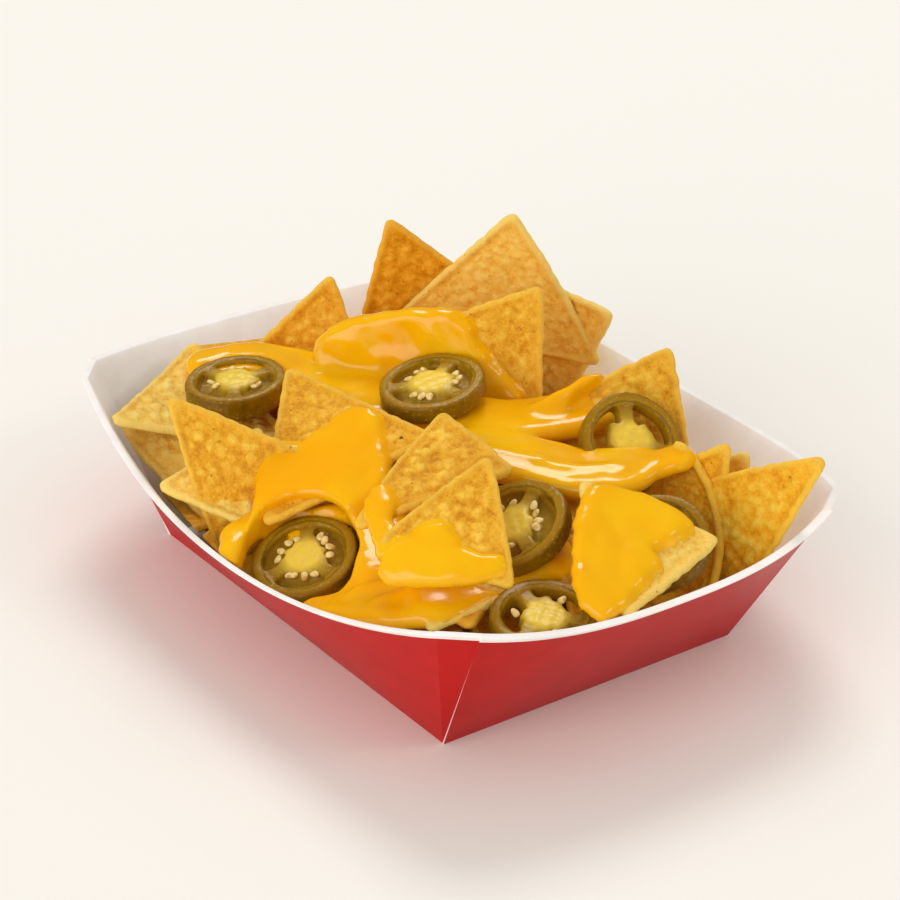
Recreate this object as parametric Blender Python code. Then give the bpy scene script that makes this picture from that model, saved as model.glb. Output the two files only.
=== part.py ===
"""Nachos in a paper tray: tortilla chips, cheese sauce and pepper slices over a heap of chips.

X runs along the tray, Y across it, and Z = 0 is the underside. Sizes in the tables are in
millimetres and degrees.
"""

import itertools
import math

import bmesh
import bpy
import numpy as np
from mathutils import Matrix, Vector

MM = 0.001
TINY = 1e-6
# Between neighbouring pieces.
GAP = 0.3

# The tray, a folded and glued paperboard blank.
TRAY_FOOT = (66.0, 48.5)
TRAY_TOP = (89.0, 65.0)
TRAY_HEIGHT = 49.5
BOARD = 1.0
LIP_WIDTH = 2.2
LIP_START = 0.95
LIP_LEAN = 0.1
FLAP_STEP = 0.7
GUSSET_LONG = 0.95
GUSSET_SHORT = 0.89
# Each wall: its bow outwards, the dip of its rim, and how flat the middle of both curves is.
WALLS = {
    "front": (11.0, 17.0, 2.1),
    "right": (12.0, 5.5, 2.6),
    "back": (19.5, 9.0, 4.0),
    "left": (17.5, 7.0, 2.6),
}

# Tortilla chips: rounded triangles, bent a little as they fry.
CHIP_THICKNESS = 2.0
CHIP_CORNER = 2.8
CHIP_BULGE = 0.5
# Name: x, y and z of the tip; the heading that its face turns to and how far it leans from flat;
# the turn of the tip from uphill; width, length; direction and radius of its bend (0 is flat).
CHIPS = {
    "centre_front": (47, -22, 67, -50, 40, -10, 43, 39, 0, 0),
    "centre_back": (32, -53, 49, -45, 20, 140, 30, 46, 0, -250),
    "left_front": (-37, -66, 61, -40, 70, 45, 44, 48, 100, -75),
    "front_edge": (67, -7, 38, -40, 10, -80, 44, 44, 0, -250),
    "right_front": (88, 22, 48, -10, 25, -100, 46, 35, 0, 0),
    "right": (93, 53, 65, -75, 80, -40, 46, 56, 30, -110),
    "right_curved": (60, 31, 62, -95, 80, 0, 54, 49, 30, 30),
    "right_back": (26, 57, 69, -40, 55, -25, 60, 42, 0, 0),
    "back_sauced": (-5, 35, 81, -50, 80, -30, 64, 49, 0, 0),
    "back_tall": (-41, 53, 86, -50, 95, -5, 66, 46, 30, 250),
    "back_mid": (-74, 33, 77, -35, 90, 20, 60, 49, 0, 0),
    "back_left": (-70, 10, 66, -30, 75, -15, 58, 48, 0, 0),
    "back_right": (-18, 73, 58, -65, 90, -60, 57, 40, 150, 100),
    "mid": (-36, -28, 60, -65, 30, 50, 54, 47, 40, 200),
    "left_flat": (-66, -67, 42, 0, 10, 90, 54, 46, 0, 150),
    "left_low": (-77, -60, 34, -45, 30, 80, 50, 42, 0, 0),
    "left_back": (-86, -29, 46, 125, 5, -75, 47, 49, 0, 0),
    "left_bit": (-35, -71, 36, -50, 30, 105, 46, 38, 0, 0),
    "right_low": (86, 18, 42, -50, 15, -70, 50, 38, 0, 0),
    "right_small": (69, 41, 62, -60, 90, -30, 42, 46, 0, 0),
    "right_pale": (64, 53, 54, -75, 90, -30, 38, 42, 0, 0),
    "front_low": (70, -44, 35, -140, 10, -70, 42, 42, 0, 0),
}

# Pepper slices: a ring of flesh with a ribbed core and three seed cavities.
SLICE_SIDES = 20
SLICE_WALL = 3.6
CORE_RADIUS = 4.0
RIB_WIDTH = 3.4
# Name: centre of the upper face; heading and lean of its axis; turn about it; radius, thickness
# and how far the sauce is kept clear of its face.
SLICES = {
    "left": (-57, -32, 50, -110, 5, 10, 14.7, 7.0, 6.0),
    "back": (-9, 1, 60, -100, 10, 40, 15.2, 5.5, 6.0),
    "right_back": (41, 32, 54, -15, 40, 0, 14.7, 5.5, 0.0),
    "centre": (52, -18, 49, -90, 30, 20, 15.5, 5.5, 5.0),
    "front": (10, -54, 31, -75, 25, 30, 14.7, 6.0, 6.0),
    "front_right": (80, -28, 39, -40, 12, 60, 14.2, 5.0, 4.0),
    "right": (75, 11, 46, -60, 30, 80, 15.0, 5.5, 0.0),
}

# Cheese sauce: each pour has a half-width and runs through the points of its upper surface.
SAUCE_DEPTH = 8.0
SAUCE_EDGE = 5.0
SAUCE_REACH = 6.5
POURS = {
    "left": (11, [(-72, -24, 50), (-66, -13, 50), (-55, -11, 50), (-42, -9, 51)]),
    "back": (10, [(-46, -2, 57), (-38, 6, 62), (-24, 17, 68), (-12, 22, 65), (-3, 18, 58)]),
    "back_low": (11, [(-37, -5, 53), (-22, -8, 53), (10, 11, 56), (12, 27, 55), (18, 42, 57)]),
    "right": (11, [(14, 0, 52), (28, 9, 52), (40, 16, 51)]),
    "crest": (8, [(42, 18, 51), (51, 22, 54), (54, 25, 58)]),
    "centre": (8, [(57, 16, 55), (46, 12, 50)]),
    "right_front": (12, [(66, 0, 61), (74, 1, 59), (82, -8, 55), (88, -16, 50)]),
    "lobe": (6, [(72, 4, 58), (79, 4, 55)]),
    "sheet": (9, [(-2, -28, 57), (-1, -35, 54), (-10, -44, 50), (-4, -55, 43)]),
    "sheet_right": (8, [(-1, -35, 54), (6, -38, 50), (3, -46, 46)]),
    "pool": (8, [(16, -32, 45), (16, -46, 38), (24, -44, 44)]),
    "centre_back": (7, [(26, -45, 55), (33, -50, 54)]),
    "front_left": (8, [(-12, -57, 31), (0, -68, 26), (20, -67, 26), (26, -54, 34)]),
    "front_pool": (9, [(34, -57, 36), (44, -61, 39), (56, -60, 42), (64, -56, 44)]),
    "front_step": (8, [(40, -50, 49), (48, -55, 47), (58, -54, 46), (66, -48, 46)]),
    "front": (8, [(48, -48, 55), (56, -44, 54), (65, -41, 51)]),
}

# The space that soft fillings leave inside the outer face of the walls.
WALL_ROOM = 3.6

# The heap of chips under everything that shows: its height at the walls and how far it rises to
# its middle, with lumps about half a chip apart.
HEAP_RIM = 18.0
HEAP_RISE = 27.0
HEAP_MIDDLE = (-8.0, 10.0)
HEAP_SPREAD = (62.0, 42.0)
HEAP_BUMP = 2.5
HEAP_PITCH = 34.0
HEAP_SWAY = 0.6

# Opposite corners of the grid that the sauce and the heap are made on.
GRID_LOW = (-99.3, -90.0, 0.0)
GRID_HIGH = (105.0, 90.0, 90.0)
# How finely the sauce and the heap are made, in millimetres and triangles, and the smallest
# piece that is kept of either, in cubic millimetres.
SAUCE_GAP = 1.4
SAUCE_CELL = 2.6
SAUCE_TRIANGLES = 1700
SAUCE_BODIES = 2
HEAP_CELL = 4.0
HEAP_TRIANGLES = 110
LEAST_BODY = 200.0
LEAST_SHARE = 0.02
MERGE = 0.002
FLAT_ANGLE = 0.1
SMOOTH_ANGLE = 35.0

# Colour and roughness of each kind of piece.
BOARD_FINISH = ((200, 38, 36), 0.35)
CORN_FINISH = ((228, 168, 60), 0.7)
PEPPER_FINISH = ((112, 98, 22), 0.3)
SAUCE_FINISH = ((250, 178, 25), 0.2)


def rgba(red, green, blue):
    """A linear colour from sRGB bytes."""
    return tuple(((v / 255 + 0.055) / 1.055) ** 2.4 for v in (red, green, blue)) + (1.0,)


def make_material(name, colour, roughness):
    material = bpy.data.materials.new(f"{name}_surface")
    material.use_nodes = True
    shader = material.node_tree.nodes["Principled BSDF"]
    shader.inputs["Base Color"].default_value = rgba(*colour)
    shader.inputs["Roughness"].default_value = roughness
    shader.inputs["Metallic"].default_value = 0.0
    material.diffuse_color = rgba(*colour)
    return material


def add_object(name, points, faces, finish, parent, matrix=Matrix()):
    """A node from points in millimetres, with its faces split into triangles and turned outwards."""
    shell = bmesh.new()
    corners = [shell.verts.new(Vector(point) * MM) for point in points]
    for face in faces:
        shell.faces.new([corners[index] for index in face])
    bmesh.ops.remove_doubles(shell, verts=shell.verts, dist=0.01 * MM)
    bmesh.ops.triangulate(shell, faces=shell.faces)
    bmesh.ops.recalc_face_normals(shell, faces=shell.faces)
    mesh = bpy.data.meshes.new(name)
    shell.to_mesh(mesh)
    shell.free()
    obj = bpy.data.objects.new(name, mesh)
    if finish:
        obj.data.materials.append(make_material(name, *finish))
    obj.parent = parent
    obj.matrix_world = matrix
    bpy.context.scene.collection.objects.link(obj)
    return obj


def placed(x, y, z, heading, lean, spin):
    """Leans an upright axis towards a heading, after a spin about itself."""
    turn = (
        Matrix.Rotation(math.radians(heading), 4, "Z")
        @ Matrix.Rotation(math.radians(lean), 4, "Y")
        @ Matrix.Rotation(math.radians(spin), 4, "Z")
    )
    return Matrix.Translation(Vector((x, y, z)) * MM) @ turn


def rim_point(wall, t):
    """The rim's outer edge, at t from -1 to 1 along a wall."""
    bow, dip, power = WALLS[wall]
    swell = 1 - abs(t) ** power
    z = TRAY_HEIGHT - dip * swell
    if wall in ("front", "back"):
        side = -1 if wall == "front" else 1
        return (TRAY_TOP[0] * t, side * (TRAY_TOP[1] + bow * swell), z)
    side = -1 if wall == "left" else 1
    return (side * (TRAY_TOP[0] + bow * swell), TRAY_TOP[1] * t, z)


def foot_point(wall, t):
    if wall in ("front", "back"):
        return (TRAY_FOOT[0] * t, TRAY_FOOT[1] * (-1 if wall == "front" else 1), 0.0)
    return (TRAY_FOOT[0] * (-1 if wall == "left" else 1), TRAY_FOOT[1] * t, 0.0)


def tray_columns():
    """(foot, rim, step) round the tray: each end panel laps over the gusset at its corners."""
    columns = []
    for wall, count in (("front", 12), ("right", 10), ("back", 12), ("left", 10)):
        long_wall = wall in ("front", "back")
        reach = GUSSET_LONG if long_wall else GUSSET_SHORT
        sign = 1 if wall in ("front", "right") else -1
        for index in range(count + 1):
            t = sign * (2 * index / count - 1)
            foot, rim = foot_point(wall, t), rim_point(wall, t * reach)
            if not long_wall and index == 0:
                columns.append((foot, rim, 0.0))
            columns.append((foot, rim, 0.0 if long_wall else FLAP_STEP))
            if not long_wall and index == count:
                columns.append((foot, rim, 0.0))
    return columns


def outward(loop):
    """Unit directions out of a loop of points seen from above, mitred at its corners."""
    flat = np.array(loop)[:, :2]
    before, after = np.roll(flat, 1, axis=0), np.roll(flat, -1, axis=0)
    along = after - before
    across = np.stack([along[:, 1], -along[:, 0]], axis=1)
    return across / np.linalg.norm(across, axis=1)[:, None]


def tray_shell(grow=0.0):
    columns = tray_columns()
    foot = np.array([column[0] for column in columns])
    rim = np.array([column[1] for column in columns])
    step = np.array([column[2] for column in columns])
    out = np.zeros_like(rim)
    # Two columns of a step share a place, and a tiny shift keeps their direction defined.
    out[:, :2] = outward(rim + TINY * np.arange(len(rim))[:, None])
    lap = out * step[:, None]

    def ring(fraction, offset, lapped=True):
        return foot + (rim - foot) * fraction + out * offset + (lap if lapped else 0)

    rings = [
        foot + out * grow - [0, 0, grow],
        ring(LIP_START, BOARD - LIP_WIDTH + LIP_LEAN + grow),
        ring(1.0, grow) + [0, 0, grow],
        ring(1.0, -LIP_WIDTH - grow, False) + [0, 0, grow],
        ring(LIP_START, LIP_LEAN - LIP_WIDTH - grow, False),
        foot - out * (BOARD + grow) + [0, 0, BOARD + grow],
    ]
    count = len(columns)
    points = np.concatenate(rings)
    faces = [tuple(range(count))[::-1], tuple(range(5 * count, 6 * count))]
    for level in range(5):
        for index in range(count):
            low, next_low = level * count + index, level * count + (index + 1) % count
            faces.append((low, next_low, next_low + count, low + count))
    return points, faces


def chip_outline(width, length, grow):
    """A rounded triangle about its middle, its tip towards X."""
    sharp = [(length * 2 / 3, 0), (-length / 3, width / 2), (-length / 3, -width / 2)]
    inward = [np.array(corner) * (1 - 2 * CHIP_CORNER / np.hypot(*corner)) for corner in sharp]
    points = []
    for index, corner in enumerate(inward):
        after = inward[(index + 1) % 3]
        facing = math.degrees(math.atan2(*(after - corner)[::-1])) - 90
        before = corner - inward[index - 1]
        start = math.degrees(math.atan2(*before[::-1])) - 90
        sweep = (facing - start) % 360
        for part in (0, 1 / 3, 2 / 3, 1):
            angle = math.radians(start + sweep * part)
            spoke = np.array((math.cos(angle), math.sin(angle)))
            points.append(corner + spoke * (CHIP_CORNER + grow))
        side = after - corner
        points += [points[-1] + side * part + spoke * CHIP_BULGE for part in (1 / 3, 2 / 3)]
    return np.array(points)


def bent(points, direction, radius):
    """Rolls flat points round a cylinder of the given radius."""
    if not radius:
        return points
    angle = math.radians(direction)
    along = points[:, 0] * math.cos(angle) + points[:, 1] * math.sin(angle)
    across = points[:, 1] * math.cos(angle) - points[:, 0] * math.sin(angle)
    depth = radius - points[:, 2]
    turned = along / radius
    rolled = depth * np.sin(turned)
    return np.stack([
        rolled * math.cos(angle) - across * math.sin(angle),
        rolled * math.sin(angle) + across * math.cos(angle),
        radius - depth * np.cos(turned),
    ], axis=1)


def chip_shell(width, length, direction, radius, grow=0.0):
    """A chip whose tip is at the origin."""
    outline = chip_outline(width, length, grow)
    count = len(outline)
    half = CHIP_THICKNESS / 2 + grow
    points = []
    for height in (half, -half):
        for scale in (1.0, 0.5):
            points += [(x * scale, y * scale, height) for x, y in outline]
        points.append((0.0, 0.0, height))
    side = 2 * count + 1
    faces = []
    for index in range(count):
        after = (index + 1) % count
        for base in (0, side):
            ring = (base + index, base + after, base + count + after, base + count + index)
            fan = (base + count + index, base + count + after, base + 2 * count)
            faces += [ring, fan]
        faces.append((index, side + index, side + after, after))
    tip = (length * 2 / 3 - CHIP_CORNER, 0.0, 0.0)
    shape = bent(np.array(points + [tip]), direction, radius)
    return shape[:-1] - shape[-1], faces


def ring_points(radius, count, height, turn=0.0):
    angles = [turn + 2 * math.pi * index / count for index in range(count)]
    return [(radius * math.cos(a), radius * math.sin(a), height) for a in angles]


def cavity_outline(middle, inner, outer):
    """One seed cavity: the space between the core, the wall and two ribs."""
    points = []
    for radius, steps in ((outer, (-1, -0.5, 0, 0.5, 1)), (inner, (1, -1))):
        half = math.pi / 3 - RIB_WIDTH / 2 / radius
        points += [
            (radius * math.cos(middle + half * s), radius * math.sin(middle + half * s))
            for s in steps
        ]
    return points


def slice_shell(radius, thickness, grow=0.0, clear=0.0, cavities=True):
    """A slice whose upper face is at z = 0."""
    top, bottom = grow + clear, -thickness - grow
    count = SLICE_SIDES
    loops = [[(x, y) for x, y, _ in ring_points(radius + grow, count, 0)]]
    if cavities:
        for index in range(3):
            loops.append(
                cavity_outline(2 * math.pi * index / 3, CORE_RADIUS, radius - SLICE_WALL)
            )
    flat = bmesh.new()
    for loop in loops:
        corners = [flat.verts.new((x, y, top)) for x, y in loop]
        for index, corner in enumerate(corners):
            flat.edges.new((corner, corners[(index + 1) % len(corners)]))
    flat.verts.index_update()
    bmesh.ops.triangle_fill(flat, use_beauty=True, edges=flat.edges)
    upper = [tuple(corner.co) for corner in flat.verts]
    caps = [tuple(corner.index for corner in face.verts) for face in flat.faces]
    flat.free()
    total = len(upper)
    points = upper + [(x, y, bottom) for x, y, _ in upper]
    faces = caps + [tuple(index + total for index in cap[::-1]) for cap in caps]
    start = 0
    for loop in loops:
        for index in range(len(loop)):
            first, second = start + index, start + (index + 1) % len(loop)
            faces.append((first, second, second + total, first + total))
        start += len(loop)
    return points, faces


def wall_room(x, y, z):
    """How far points are inside the nearest wall's outer face; large above the rim."""
    room = np.full(np.broadcast(x, y, z).shape, TRAY_TOP[0])
    share = np.clip(z / TRAY_HEIGHT, 0, 1)
    for wall in WALLS:
        axis = 1 if wall in ("front", "back") else 0
        along, across = (x, y) if axis == 1 else (y, x)
        side = -1 if wall in ("front", "left") else 1
        half = TRAY_FOOT[1 - axis] + (TRAY_TOP[1 - axis] - TRAY_FOOT[1 - axis]) * share
        rim = rim_point(wall, np.clip(along / half, -1, 1))
        rise = z / rim[2]
        limit = TRAY_FOOT[axis] + (np.abs(rim[axis]) - TRAY_FOOT[axis]) * rise
        room = np.where(rise <= 1, np.minimum(room, limit - side * across), room)
    return np.minimum(room, z)


def sauce_field(x, y, z, grow=0.0):
    """Negative inside the sauce. Its upper surface is a weighted mean of the pours' points."""
    weight, level, edge = TINY, 0.0, -TRAY_TOP[0]
    for width, points in POURS.values():
        for start, end in zip(points, points[1:]):
            run = np.subtract(end, start)
            share = ((x - start[0]) * run[0] + (y - start[1]) * run[1]) / (run[:2] @ run[:2])
            share = np.clip(share, 0, 1)
            away = np.hypot(x - start[0] - run[0] * share, y - start[1] - run[1] * share)
            near = np.exp(-((away / SAUCE_REACH) ** 2))
            weight = weight + near
            level = level + near * (start[2] + run[2] * share)
            edge = np.maximum(edge, width - away)
    level = level / weight
    edge = edge + grow
    swell = np.sqrt(np.clip(edge / SAUCE_EDGE, 0, 1) * (2 - np.clip(edge / SAUCE_EDGE, 0, 1)))
    middle = level - SAUCE_DEPTH / 2
    inside = np.abs(z - middle) - swell * SAUCE_DEPTH / 2 - grow
    return np.maximum(inside, np.maximum(-edge, WALL_ROOM - grow - wall_room(x, y, z)))


def heap_field(x, y, z):
    """Negative inside the hidden heap, a lumpy mound that fills the tray's floor."""
    along, across = (x - HEAP_MIDDLE[0]) / HEAP_SPREAD[0], (y - HEAP_MIDDLE[1]) / HEAP_SPREAD[1]
    mound = np.exp(-(along**2) - across**2)
    turn = 2 * math.pi / HEAP_PITCH
    lumps = np.sin(turn * x + HEAP_SWAY * np.sin(turn * y)) * np.cos(turn * y + 1)
    top = HEAP_RIM + HEAP_RISE * mound + HEAP_BUMP * lumps
    return np.maximum(z - top, WALL_ROOM - wall_room(x, y, z))


def surface_of(field, low, high, cell):
    """A closed skin where a field is zero, from the six tetrahedra of each cell of a grid."""
    axes = [np.arange(start, end + cell, cell) for start, end in zip(low, high)]
    grid = np.stack(np.meshgrid(*axes, indexing="ij"), axis=-1)
    values = field(grid[..., 0], grid[..., 1], grid[..., 2])
    strides = np.array([grid.shape[1] * grid.shape[2], grid.shape[2], 1])
    values, nodes = values.ravel(), grid.reshape(-1, 3)
    cells = [np.arange(count - 1) for count in grid.shape[:3]]
    base = np.stack(np.meshgrid(*cells, indexing="ij"), axis=-1).reshape(-1, 3) @ strides
    pairs = []
    for order in itertools.permutations(strides):
        corners = np.stack([base + sum(order[:count]) for count in range(4)], axis=1)
        inside = values[corners] < 0
        count = inside.sum(axis=1)
        for few, wanted in ((1, True), (3, False)):
            chosen, kind = corners[count == few], inside[count == few]
            lone = chosen[kind == wanted].reshape(-1, 1)
            rest = chosen[kind != wanted].reshape(-1, 3)
            pairs.append(np.stack([np.repeat(lone, 3, axis=1), rest], axis=2))
        chosen, kind = corners[count == 2], inside[count == 2]
        one, two = chosen[kind].reshape(-1, 2), chosen[~kind].reshape(-1, 2)
        square = [(one[:, i], two[:, j]) for i, j in ((0, 0), (0, 1), (1, 1), (1, 0))]
        for three in ((0, 1, 2), (0, 2, 3)):
            pairs.append(np.stack([np.stack(square[k], axis=1) for k in three], axis=1))
    ends = np.sort(np.concatenate(pairs).reshape(-1, 2), axis=1)
    edges, index = np.unique(ends, axis=0, return_inverse=True)
    one, two = values[edges[:, 0]], values[edges[:, 1]]
    share = np.clip(one / (one - two), LEAST_SHARE, 1 - LEAST_SHARE)[:, None]
    points = nodes[edges[:, 0]] * (1 - share) + nodes[edges[:, 1]] * share
    return points, index.reshape(-1, 3).tolist()


def thinned(obj, triangles):
    """Collapses edges until about this many triangles are left."""
    modifier = obj.modifiers.new("thin", "DECIMATE")
    modifier.ratio = min(1.0, triangles / len(obj.data.polygons))
    settle(obj)


def settle(obj):
    """Makes an object's modifiers part of its mesh."""
    bpy.context.view_layer.update()
    graph = bpy.context.evaluated_depsgraph_get()
    mesh = bpy.data.meshes.new_from_object(obj.evaluated_get(graph))
    obj.modifiers.clear()
    obj.data = mesh


def box_of(obj):
    points = np.array([obj.matrix_world @ vertex.co for vertex in obj.data.vertices])
    return points.min(axis=0), points.max(axis=0)


def meet(one, other):
    low, high = box_of(one)
    other_low, other_high = box_of(other)
    return bool((low < other_high).all() and (other_low < high).all())


def bodies_of(mesh):
    """The separate bodies of a mesh as sets of faces, the largest first."""
    unseen, bodies = set(mesh.faces), []
    while unseen:
        body, edge_of_body = set(), [unseen.pop()]
        while edge_of_body:
            face = edge_of_body.pop()
            body.add(face)
            for edge in face.edges:
                for near in edge.link_faces:
                    if near in unseen:
                        unseen.discard(near)
                        edge_of_body.append(near)
        bodies.append(body)
    return sorted(bodies, key=volume_of, reverse=True)


def volume_of(faces):
    """Cubic millimetres inside a closed set of triangles."""
    total = 0.0
    for face in faces:
        one, two, three = (loop.vert.co for loop in face.loops)
        total += one.dot(two.cross(three)) / 6
    return total / MM**3


def cut(obj, cutters):
    """Cuts every cutter that reaches the object out of it."""
    for cutter in [cutter for cutter in cutters if meet(obj, cutter)]:
        modifier = obj.modifiers.new(cutter.name, "BOOLEAN")
        modifier.operation = "DIFFERENCE"
        modifier.solver = "EXACT"
        modifier.object = cutter
    if obj.modifiers:
        settle(obj)


def keep_bodies(obj, most=1):
    """Keeps the largest bodies, the first in this object and each other in one of its own."""
    shell = bmesh.new()
    shell.from_mesh(obj.data)
    bmesh.ops.remove_doubles(shell, verts=shell.verts, dist=MERGE * MM)
    bmesh.ops.dissolve_limit(
        shell, angle_limit=math.radians(FLAT_ANGLE), verts=shell.verts, edges=shell.edges
    )
    bmesh.ops.triangulate(shell, faces=shell.faces)
    bodies = bodies_of(shell)
    kept = [body for body in bodies[:most] if volume_of(body) > LEAST_BODY] or bodies[:1]
    for number, body in enumerate(kept):
        piece = shell.copy()
        chosen = {face.index for face in body}
        drop = [face for face in piece.faces if face.index not in chosen]
        bmesh.ops.delete(piece, geom=drop, context="FACES")
        target = obj if number == 0 else obj.copy()
        mesh = bpy.data.meshes.new(obj.name)
        mesh.materials.append(obj.data.materials[0].copy() if number else obj.data.materials[0])
        piece.to_mesh(mesh)
        piece.free()
        target.data = mesh
        if number:
            target.name = f"{obj.name}_{number + 1}"
            bpy.context.scene.collection.objects.link(target)
    shell.free()


def main():
    for obj in list(bpy.data.objects):
        bpy.data.objects.remove(obj, do_unlink=True)
    root = bpy.data.objects.new("nachos", None)
    bpy.context.scene.collection.objects.link(root)

    add_object("tray", *tray_shell(), BOARD_FINISH, root)
    walls = add_object("cutter_tray", *tray_shell(GAP), None, root)
    cutters = [walls]
    above = []
    for name, (x, y, z, heading, lean, turn, radius, thickness, clear) in SLICES.items():
        where = placed(x, y, z, heading, lean, turn)
        disc = add_object(f"pepper_{name}", *slice_shell(radius, thickness), PEPPER_FINISH, root, where)
        cut(disc, cutters)
        keep_bodies(disc)
        full = slice_shell(radius, thickness, GAP, cavities=False)
        cutters.append(add_object(f"cutter_pepper_{name}", *full, None, root, where))
        if clear:
            column = slice_shell(radius, thickness, GAP, clear, cavities=False)
            above.append(add_object(f"cutter_above_{name}", *column, None, root, where))
    for name, (x, y, z, heading, lean, turn, *form) in CHIPS.items():
        where = placed(x, y, z, heading, lean, turn + 180)
        chip = add_object(f"chip_{name}", *chip_shell(*form), CORN_FINISH, root, where)
        cut(chip, cutters)
        keep_bodies(chip)
        grown = chip_shell(*form, GAP)
        cutters.append(add_object(f"cutter_chip_{name}", *grown, None, root, where))
    skin = surface_of(sauce_field, GRID_LOW, GRID_HIGH, SAUCE_CELL)
    cheese = add_object("cheese", *skin, SAUCE_FINISH, root)
    thinned(cheese, SAUCE_TRIANGLES)
    cut(cheese, cutters + above)
    keep_bodies(cheese, SAUCE_BODIES)
    skin = surface_of(lambda x, y, z: sauce_field(x, y, z, SAUCE_GAP), GRID_LOW, GRID_HIGH, SAUCE_CELL)
    grown = add_object("cutter_cheese", *skin, None, root)
    thinned(grown, SAUCE_TRIANGLES)
    cutters.append(grown)
    skin = surface_of(heap_field, GRID_LOW, GRID_HIGH, HEAP_CELL)
    heap = add_object("chip_bed", *skin, CORN_FINISH, root)
    thinned(heap, HEAP_TRIANGLES)
    cut(heap, cutters)
    keep_bodies(heap)
    for cutter in cutters + above:
        cutter.hide_render = True
        cutter.display_type = "WIRE"
    for obj in root.children:
        obj.data.shade_smooth()
        obj.data.set_sharp_from_angle(angle=math.radians(SMOOTH_ANGLE))


main()
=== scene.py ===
import math

import bpy
import numpy as np
from mathutils import Matrix, Vector, noise


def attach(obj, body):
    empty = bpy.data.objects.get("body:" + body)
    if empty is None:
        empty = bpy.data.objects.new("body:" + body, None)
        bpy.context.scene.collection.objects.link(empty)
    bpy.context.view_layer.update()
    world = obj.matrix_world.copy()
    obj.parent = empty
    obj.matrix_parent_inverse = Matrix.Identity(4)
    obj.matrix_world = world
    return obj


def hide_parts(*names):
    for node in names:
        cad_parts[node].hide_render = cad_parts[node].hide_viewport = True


# Loaded nachos in a folded paper tray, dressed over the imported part.
# X runs along the tray and Y across it. Tables are in millimetres and degrees, Blender gets metres.
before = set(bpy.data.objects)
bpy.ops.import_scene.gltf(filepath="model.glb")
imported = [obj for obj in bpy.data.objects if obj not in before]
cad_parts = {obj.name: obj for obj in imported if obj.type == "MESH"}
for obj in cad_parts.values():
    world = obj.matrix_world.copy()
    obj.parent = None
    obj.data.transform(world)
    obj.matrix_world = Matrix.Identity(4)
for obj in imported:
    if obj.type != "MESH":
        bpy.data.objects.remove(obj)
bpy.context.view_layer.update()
mm = 0.001


def linearColour(code):
    channels = [int(code[start:start + 2], 16) / 255 for start in (1, 3, 5)]
    return tuple(c / 12.92 if c <= 0.04045 else ((c + 0.055) / 1.055) ** 2.4 for c in channels) + (1.0,)


def addNode(tree, kind, inputs=None, stops=(), **settings):
    # A new material comes with its shader, so that one is used
    own = tree.nodes.get("Principled BSDF") if kind == "BsdfPrincipled" else None
    node = own or tree.nodes.new(f"ShaderNode{kind}")
    for key, value in settings.items():
        setattr(node, key, value)
    for index, (place, colour) in enumerate(stops):
        ramp = node.color_ramp.elements
        stop = ramp[index] if index < len(ramp) else ramp.new(place)
        stop.position = place
        stop.color = linearColour(colour)
    for key, value in (inputs or {}).items():
        # A node stands for its first output
        value = value.outputs[0] if isinstance(value, bpy.types.Node) else value
        if isinstance(value, bpy.types.NodeSocket):
            tree.links.new(value, node.inputs[key])
        else:
            node.inputs[key].default_value = value
    return node


def startMaterial(name):
    material = bpy.data.materials.new(name)
    material.use_nodes = True
    return material, material.node_tree


def mottledMaterial(name, stops, mottle, grain, surface):
    # The colour drifts between the stops, over a fine grain in relief if there is one
    material, tree = startMaterial(name)
    coords = addNode(tree, "TexCoord").outputs["Object"]
    drift = addNode(tree, "TexNoise", {"Vector": coords, "Scale": mottle[0], "Detail": mottle[1]})
    surface = {"Base Color": addNode(tree, "ValToRGB", {"Fac": drift}, stops=stops), **surface}
    if grain:
        scale, strength, depth = grain
        fine = addNode(tree, "TexNoise", {"Vector": coords, "Scale": scale, "Detail": 2})
        surface["Normal"] = addNode(tree, "Bump", {"Height": fine, "Strength": strength, "Distance": depth})
    addNode(tree, "BsdfPrincipled", surface)
    return material


def addObject(name, data):
    thing = bpy.data.objects.new(name, data)
    bpy.context.scene.collection.objects.link(thing)
    return thing


def makePiece(name, points, faces, materials, replaced, faceMaterial=None, traits=None):
    mesh = bpy.data.meshes.new(name)
    mesh.from_pydata((np.asarray(points) * mm).tolist(), [], faces)
    for material in materials:
        mesh.materials.append(material)
    if faceMaterial is not None:
        mesh.polygons.foreach_set("material_index", np.asarray(faceMaterial, np.int32))
    for trait, values in (traits or {}).items():
        attribute = mesh.attributes.new(trait, "FLOAT", "POINT")
        attribute.data.foreach_set("value", np.asarray(values, np.float32))
    mesh.shade_smooth()
    piece = addObject(name, mesh)
    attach(piece, "root")
    if replaced:
        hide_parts(*replaced)
    return piece


def placedAt(spot, heading, lean, spin):
    # Leans an upright axis towards a heading, after a spin about itself
    matrix = Matrix.Translation(Vector(spot))
    for angle, axis in ((heading, "Z"), (lean, "Y"), (spin, "Z")):
        matrix = matrix @ Matrix.Rotation(math.radians(angle), 4, axis)
    return np.array(matrix)


def moved(points, matrix):
    return points @ matrix[:3, :3].T + matrix[:3, 3]


def noiseSpots(points, size, seed):
    shift = Vector((seed * 17.3, seed * -9.1, seed * 5.7))
    return [Vector(point) / size + shift for point in points.tolist()]


def smoothNoise(points, size, seed):
    return np.array([noise.noise(spot) for spot in noiseSpots(points, size, seed)])


def blisterNoise(points, size, seed):
    # Domes that meet in creases, as the bubbles of fried dough do
    near = [noise.voronoi(spot)[0][0] for spot in noiseSpots(points, size, seed)]
    return np.clip(1 - (np.array(near) / 0.62) ** 2, 0, 1)


def smoothLeast(one, other, blend):
    share = np.clip(0.5 + 0.5 * (other - one) / blend, 0, 1)
    return other + (one - other) * share - blend * share * (1 - share)


def smoothMost(one, other, blend):
    return -smoothLeast(-one, -other, blend)


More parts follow.
